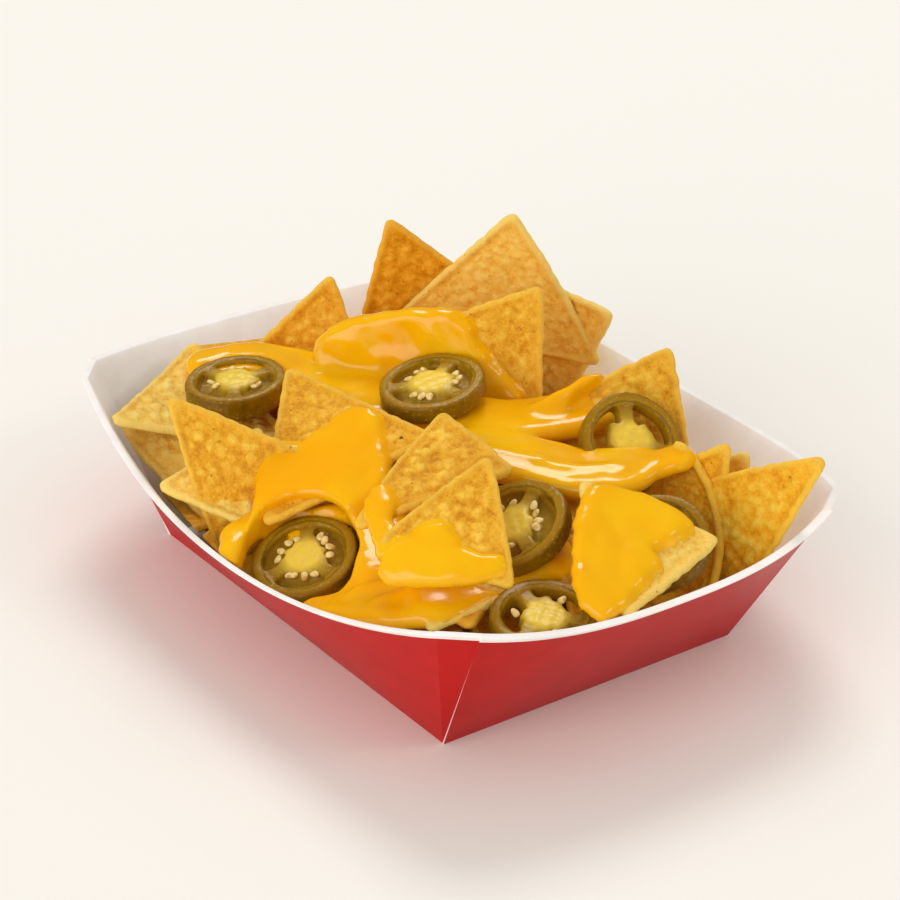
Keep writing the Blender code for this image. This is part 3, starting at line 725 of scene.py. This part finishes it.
# Cheese sauce: an oil-in-water emulsion poured warm, which sets with a smooth wet gloss.
# Light goes a millimetre or two into it, so its thin edges glow.
sauceForm = {
    "colour": "#FFC008", "deep": "#FDB000", "cell": 0.9, "quickCoarser": 1.8, "scrap": 400,
    "low": (-96.0, -84.0, 18.0), "high": (104.0, 84.0, 80.0),
    "depth": 6.0, "edge": 4.0, "reach": 6.0, "wallRoom": 2.5, "blend": 2.4,
    "coatEdge": 2.6, "coatSpread": 1.0, "coatUnder": 0.4, "coatSwell": 0.3, "swellSize": 9.0, "drip": 0.6,
    "wetting": 2.2, "wettingReach": 1.5, "wettingGap": 0.5, "lowSide": -38, "lowRing": 4.0, "ringGap": 0.5,
    "rippleSize": 11.0, "rippleHeight": 0.5,
}
# Pools: half-width, then the points of the upper surface that each runs through
pours = {
    "left": (9, [(-73, -28, 49), (-68, -18, 50), (-58, -13, 51), (-46, -9, 53)]),
    "left_step": (8, [(-42, -21, 50), (-40, -12, 52), (-30, -10, 53)]),
    "back_low": (11, [(-37, -5, 53), (-22, -8, 53), (10, 13, 54), (14, 24, 54), (18, 34, 55)]),
    "centre": (12, [(19, -1, 54), (32, 5, 54), (42, 12, 53), (50, 20, 54)]),
    "crest": (6, [(49, 20, 54), (55, 26, 57), (59, 31, 60)]),
    "crease": (8, [(-4, -62, 35), (-5, -54, 35), (-4, -46, 36), (0, -37, 37), (6, -31, 39)]),
    "middle": (9, [(13, -34, 42), (21, -38, 40), (29, -43, 38), (36, -47, 35)]),
    "front_left": (7, [(0, -66, 34), (5, -72, 32), (9, -72, 30), (15, -72, 29)]),
    "front_pool": (8, [(32, -60, 30), (41, -57, 33), (49, -53, 36), (55, -48, 38)]),
    "front_step": (9, [(42, -50, 38), (47, -42, 40), (51, -32, 42), (54, -22, 43), (57, -12, 43)]),
}
# Coats on chips: the chip, thickness, and the outline of the coat on its face
coats = [
    ("back_sauced", 3.8, [
        (-48, -12, 54), (-48, -11, 59), (-43, -5, 65), (-35, 2, 69), (-28, 8, 71), (-21, 14, 72),
        (-18, 17, 71), (-15, 19, 68), (-14, 19, 64), (-10, 21, 59), (-5, 24, 54), (0, 27, 51), (-3, 23, 45),
        (-19, 9, 40), (-33, -2, 43), (-44, -10, 47),
    ]),
    ("right_back", 2.6, [
        (12, 19, 55), (15, 26, 59), (17, 34, 62), (20, 38, 64), (20, 37, 63), (18, 32, 61), (18, 28, 57),
        (18, 24, 52), (13, 17, 50),
    ]),
    ("mid", 2.6, [
        (-20, -45, 50), (-12, -40, 51), (-12, -34, 53), (-12, -27, 57), (-10, -23, 59), (-5, -21, 59),
        (-1, -23, 57), (6, -26, 54), (12, -29, 51), (16, -32, 49), (14, -44, 42), (6, -56, 36),
        (-1, -66, 34), (-3, -63, 36), (-6, -60, 38), (-12, -54, 43), (-16, -49, 47),
    ]),
    ("centre_back", 2.0, [
        (27, -42, 57), (30, -41, 57), (35, -44, 55), (38, -47, 52), (43, -47, 51), (47, -50, 49),
        (47, -54, 47), (42, -54, 49), (34, -50, 53), (28, -47, 55),
    ]),
    ("centre_front", 2.4, [
        (47, -53, 51), (50, -48, 53), (49, -45, 55), (51, -41, 56), (54, -40, 56), (59, -41, 52),
        (63, -39, 52), (67, -35, 52), (70, -33, 50), (70, -38, 48), (62, -47, 45), (50, -60, 44),
    ]),
    ("front_edge", 1.6, [
        (68, -9, 41), (66, -17, 41), (65, -24, 40), (64, -31, 40), (64, -40, 39), (64, -46, 38),
        (63, -50, 37), (54, -52, 38), (45, -40, 41), (52, -20, 42), (60, -8, 42),
    ]),
    ("right_front", 2.2, [
        (63, 0, 61), (68, -8, 58), (75, -15, 54), (83, -21, 50), (88, -24, 48), (93, -23, 45),
        (96, -22, 44), (96, -19, 45), (94, -13, 46), (90, -4, 48), (89, 2, 50), (85, 1, 51), (84, 5, 52),
        (85, 11, 52), (84, 17, 53), (80, 17, 54), (73, 12, 57), (66, 4, 60),
    ]),
]
# Folds that a spoon left in the pool: half-width, height, and where each runs
folds = [
    (1.8, 1.6, [(36, -56), (46, -47), (54, -34)]), (1.6, 1.4, [(46, -56), (52, -46), (60, -32)]),
    (1.5, 1.2, [(30, -54), (38, -45), (46, -34)]), (2.0, 1.4, [(2, -64), (-2, -50), (4, -36)]),
    (2.2, 1.2, [(24, -4), (40, 6), (50, 18)]),
]


def cheeseMaterial():
    # The colour drifts over about 20 mm, and fat and starch leave a faint grain of about 1 mm under the gloss
    stops = [(0.35, sauceForm["deep"]), (0.65, sauceForm["colour"])]
    return mottledMaterial("cheeseSauceGloss", stops, (50, 2), (900, 0.08, 0.0003), {
        "Roughness": 0.15, "IOR": 1.45, "Specular IOR Level": 0.5,
        "Subsurface Weight": 0.15, "Subsurface Radius": (1.0, 0.6, 0.1), "Subsurface Scale": 0.0015,
    })


def lineReach(x, y, start, end):
    # Distance in plan from a straight run, and how far along it the nearest point is
    run = np.subtract(end[:2], start[:2])
    share = np.clip(((x - start[0]) * run[0] + (y - start[1]) * run[1]) / (run @ run), 0, 1)
    return np.hypot(x - start[0] - run[0] * share, y - start[1] - run[1] * share), share


def pouredField(x, y, z):
    weight, level, edge = 1e-6, 0.0, -100.0
    for width, line in pours.values():
        for start, end in zip(line, line[1:]):
            away, share = lineReach(x, y, start, end)
            near = np.exp(-((away / sauceForm["reach"]) ** 2))
            weight = weight + near
            level = level + near * (start[2] + (end[2] - start[2]) * share)
            edge = np.maximum(edge, width - away)
    level = level / weight
    for width, height, line in folds:
        near = np.minimum.reduce([lineReach(x, y, start, end)[0] for start, end in zip(line, line[1:])])
        level = level + height * np.exp(-((near / width) ** 2))
    half = sauceForm["depth"] / 2
    return np.maximum(np.abs(z - level + half) - roundedIn(edge / sauceForm["edge"]) * half, -edge)


def softened(ring):
    # Cuts an outline's corners twice
    for _ in range(2):
        after = np.roll(ring, -1, axis=0)
        ring = np.stack([ring * 0.75 + after * 0.25, ring * 0.25 + after * 0.75], axis=1).reshape(-1, 2)
    return ring


def outlineReach(spots, ring):
    # How far inside a closed outline flat points are
    nearest, inside = np.full(len(spots), 1e3), np.zeros(len(spots), bool)
    for start, end in zip(ring, np.roll(ring, -1, axis=0)):
        run, away = end - start, spots - start
        share = np.clip(away @ run / (run @ run), 0, 1)
        nearest = np.minimum(nearest, np.linalg.norm(away - share[:, None] * run, axis=1))
        crosses = (start[1] > spots[:, 1]) != (end[1] > spots[:, 1])
        inside ^= crosses & (away[:, 0] < away[:, 1] * run[0] / (run[1] or 1e-9))
    return np.where(inside, nearest, -nearest)


def coatField(spots, chip, thick, outline):
    flat = chipSpace(chip, spots)
    ring = softened(chipSpace(chip, np.array(outline, float))[:, :2])
    # Its edge wanders as it ran, and it lies thicker in some places
    x, y, z = flat.T
    drip = 0.5 * np.sin(x / 2.1) * np.sin(y / 1.7) + 0.4 * np.sin(x / 0.9 + y)
    inside = outlineReach(flat[:, :2], ring) + drip * sauceForm["drip"] + sauceForm["coatSpread"]
    uneven = smoothNoise(flat * [1.6, 1.0, 0.0], sauceForm["swellSize"], 3.3)
    thick = thick * (1 + sauceForm["coatSwell"] * uneven)
    top = chipForm["thickness"] / 2 + thick * roundedIn(inside / sauceForm["coatEdge"])
    return np.maximum(np.maximum(z - top, -z - sauceForm["coatUnder"]), -inside)


def chipField(spots, name):
    # Distance from a chip's flat faces and sides
    width, length = chips[name][4:6]
    flat = chipSpace(name, spots)
    corners = sharpCorners(width, length)
    reach = np.full(len(spots), -1e3)
    for start, end in zip(corners, np.roll(corners, -1, axis=0)):
        run = (end - start) / np.hypot(*(end - start))
        reach = np.maximum(reach, (flat[:, 0] - start[0]) * run[1] - (flat[:, 1] - start[1]) * run[0])
    return np.maximum(reach + chipForm["ragged"], np.abs(flat[:, 2]) - chipForm["thickness"] / 2)


def nearBlock(axes, low, high):
    # The part of the grid between two corners, its spots and its shape
    part = tuple(slice(*np.searchsorted(axis, (start, end))) for axis, start, end in zip(axes, low, high))
    grid = np.meshgrid(*[axis[span] for axis, span in zip(axes, part)], indexing="ij")
    return part, np.stack([side.ravel() for side in grid], axis=1), grid[0].shape


def cheeseShape():
    cell = sauceForm["cell"] * 1.0
    axes, (x, y, z) = gridOver(sauceForm["low"], sauceForm["high"], cell)
    values = pouredField(x[:, :, :1], y[:, :, :1], z)
    for chip, thick, outline in coats:
        line = np.array(outline)
        part, spots, shape = nearBlock(axes, line.min(axis=0) - 6, line.max(axis=0) + 6)
        coat = coatField(spots, chip, thick, outline).reshape(shape)
        values[part] = smoothLeast(values[part], coat, sauceForm["blend"])
    # The sauce climbs a little up each chip that it touches
    bare = values.copy()
    for name in chips:
        length = chips[name][5]
        middle = moved(np.array([(-length * 2 / 3, 0.0, 0.0)]), chipPlace(name))[0]
        part, spots, shape = nearBlock(axes, middle - length * 0.72, middle + length * 0.72)
        if min(shape) < 2:
            continue
        wall = chipField(spots, name).reshape(shape) + sauceForm["wettingGap"]
        climbed = smoothLeast(values[part], wall, sauceForm["wetting"])
        values[part] = np.maximum(climbed, bare[part] - sauceForm["wettingReach"])
    values = smoothMost(values, sauceForm["wallRoom"] - wallRoom(x, y, z), 1.0)
    # It stays off the cut face of a slice, and lies lower in front of it
    side = math.radians(sauceForm["lowSide"])
    for *where, radius, thickness, clear, _, _ in slices.values():
        if clear:
            matrix, centre = np.linalg.inv(placedAt(*where)), where[0]
            across, aside, above = (row[0] * x + row[1] * y + row[2] * z + row[3] for row in matrix[:3])
            front = (x - centre[0]) * math.cos(side) + (y - centre[1]) * math.sin(side)
            front = np.clip(front / radius, 0, 1)
            ring = np.hypot(across, aside) - radius - sauceForm["ringGap"] - sauceForm["lowRing"] * front
            bottom = -1.5 - (thickness - 2.5) * np.clip(front * 2, 0, 1)
            column = np.maximum(ring, np.maximum(bottom - above, above - clear))
            values = smoothMost(values, -column, 1.5)
    points, faces = surfaceNet(values, sauceForm["low"], cell)
    points, faces = mainBody(points, faces, sauceForm["scrap"])
    points = relaxed(points, faces, 3)
    ripple = smoothNoise(points, sauceForm["rippleSize"], 4.2) * sauceForm["rippleHeight"]
    ripple += smoothNoise(points, sauceForm["rippleSize"] / 2.6, 7.7) * sauceForm["rippleHeight"] * 0.3
    return points + pointNormals(points, faces) * ripple[:, None], faces


points, faces = cheeseShape()
cheeseNodes = [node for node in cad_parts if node.startswith("cheese")]
makePiece("cheeseSauce", points, faces.tolist(), [cheeseMaterial()], cheeseNodes)
print("cheese poured,", len(faces), "faces")


# The heap under everything that shows: a core of crushed chips with whole chips over it
heapForm = {
    "rim": 18.0, "rise": 27.0, "middle": (-8.0, 10.0), "spread": (62.0, 42.0), "core": 5.0, "coreRoom": 7.0,
    "cell": 3.0, "low": (-96.0, -84.0, 0.0), "high": (104.0, 84.0, 54.0), "lump": 9.0, "lumpHeight": 2.5,
    "count": 44, "rows": 26, "reach": (86.0, 64.0), "width": (34, 46), "length": 0.82,
    "lean": (4, 24), "sink": 1.5,
}


def heapTop(x, y):
    along = (x - heapForm["middle"][0]) / heapForm["spread"][0]
    across = (y - heapForm["middle"][1]) / heapForm["spread"][1]
    return heapForm["rim"] + heapForm["rise"] * np.exp(-(along**2) - across**2)


def heapCore():
    x, y, z = gridOver(heapForm["low"], heapForm["high"], heapForm["cell"])[1]
    values = np.maximum(z - heapTop(x, y) + heapForm["core"], heapForm["coreRoom"] - wallRoom(x, y, z))
    points, faces = surfaceNet(values, heapForm["low"], heapForm["cell"])
    lumps = blisterNoise(points, heapForm["lump"], 2.0) * heapForm["lumpHeight"] - 1.2
    return points + pointNormals(points, faces) * lumps[:, None], faces


def looseChips():
    # Chips lie spread by the golden angle over the heap, each turned and leaning as it fell
    random = np.random.default_rng(11)
    points, faces, traits, count = [], [], {"blister": [], "rim": []}, 0
    for index in range(heapForm["count"]):
        share, turn = math.sqrt((index + 0.5) / heapForm["count"]), index * math.pi * (3 - math.sqrt(5))
        x, y = np.multiply(heapForm["reach"], (math.cos(turn), math.sin(turn))) * share
        width = random.uniform(*heapForm["width"])
        length = width * heapForm["length"]
        shape, skin, marks = chipShape(width, length, 0, 0, index + 40.5, heapForm["rows"])
        shape = shape - shape.mean(axis=0)
        heading, lean = random.uniform(0, 360), random.uniform(*heapForm["lean"])
        spot = (x, y, heapTop(x, y) - heapForm["sink"])
        shape = insideTray(moved(shape, placedAt(spot, heading, lean, random.uniform(0, 360))))
        faces += [tuple(corner + count for corner in face) for face in skin]
        points.append(shape)
        count += len(shape)
        for key, values in marks.items():
            traits[key].append(values)
    return np.concatenate(points), faces, {key: np.concatenate(values) for key, values in traits.items()}


corePoints, coreFaces = heapCore()
points, faces, traits = looseChips()
faces = coreFaces.tolist() + [tuple(corner + len(corePoints) for corner in face) for face in faces]
traits = {key: np.concatenate([np.zeros(len(corePoints)), values]) for key, values in traits.items()}
points = np.concatenate([corePoints, points])
makePiece("crushedChips", points, faces, [masa["amber"]], ["chip_bed"], traits=traits)
print("heap made")


# A plain studio: pale floor, soft sky, a broad light from the front and smaller ones from behind
studioForm = {
    "floor": "#FBF8F0", "sky": "#FFFDFA", "skyStrength": 0.59, "skyInGloss": 0.1,
    "spot": (0.57012, -0.43714, 0.41675), "lens": 117.62, "yaw": -37.574, "elevation": 27.521, "roll": 1.908,
}
# Each lamp: the side it shines from, strength, and its angle in degrees
lamps = {
    "frontSun": ((0.6, -2.0, 0.7), 1.3, 50), "backSun": ((-1.2, 0.9, 1.9), 0.95, 24),
    "rightSun": ((1.4, 1.2, 1.3), 0.2, 16),
}


def floorMaterial():
    material, tree = startMaterial("studioPaper")
    addNode(tree, "BsdfPrincipled", {
        "Base Color": linearColour(studioForm["floor"]), "Roughness": 0.9, "Specular IOR Level": 0.0,
        "IOR": 1.45,
    })
    return material


def makeFloor():
    size = 6.0
    mesh = bpy.data.meshes.new("studioFloor")
    corners = [(-size, -size, 0), (size, -size, 0), (size, size, 0), (-size, size, 0)]
    mesh.from_pydata(corners, [], [(0, 1, 2, 3)])
    mesh.materials.append(floorMaterial())
    floor = addObject("studioFloor", mesh)


def makeCamera():
    yaw, elevation, roll = (math.radians(studioForm[key]) for key in ("yaw", "elevation", "roll"))
    away = math.cos(elevation)
    back = Vector((away * math.cos(yaw), away * math.sin(yaw), math.sin(elevation)))
    data = bpy.data.cameras.new("studioCamera")
    data.sensor_width, data.lens, data.clip_end = 36.0, studioForm["lens"], 50.0
    camera = addObject("studioCamera", data)
    turn = back.to_track_quat("Z", "Y").to_matrix().to_4x4() @ Matrix.Rotation(roll, 4, "Z")
    camera.matrix_world = Matrix.Translation(studioForm["spot"]) @ turn
    bpy.context.scene.camera = camera


def makeStudio():
    makeFloor()
    makeCamera()
    world = bpy.data.worlds.new("studioSky")
    world.use_nodes = True
    tree = world.node_tree
    background = tree.nodes["Background"].inputs
    background["Color"].default_value = linearColour(studioForm["sky"])
    # Gloss sees a darker room, as between black flags, so that the lamps make most highlights
    glossy = addNode(tree, "LightPath").outputs["Is Glossy Ray"]
    strength = addNode(tree, "MapRange", {
        "Value": glossy, "To Min": studioForm["skyStrength"], "To Max": studioForm["skyInGloss"],
    })
    tree.links.new(strength.outputs[0], background["Strength"])
    bpy.context.scene.world = world
    bpy.context.scene.view_settings.view_transform = "Standard"
    for name, (place, strength, size) in lamps.items():
        data = bpy.data.lights.new(name, "SUN")
        data.energy = strength
        data.angle = math.radians(size)
        lamp = addObject(name, data)
        lamp.location = place
        lamp.rotation_euler = (-Vector(place)).to_track_quat("-Z", "Y").to_euler()


makeStudio()
print("studio lit")
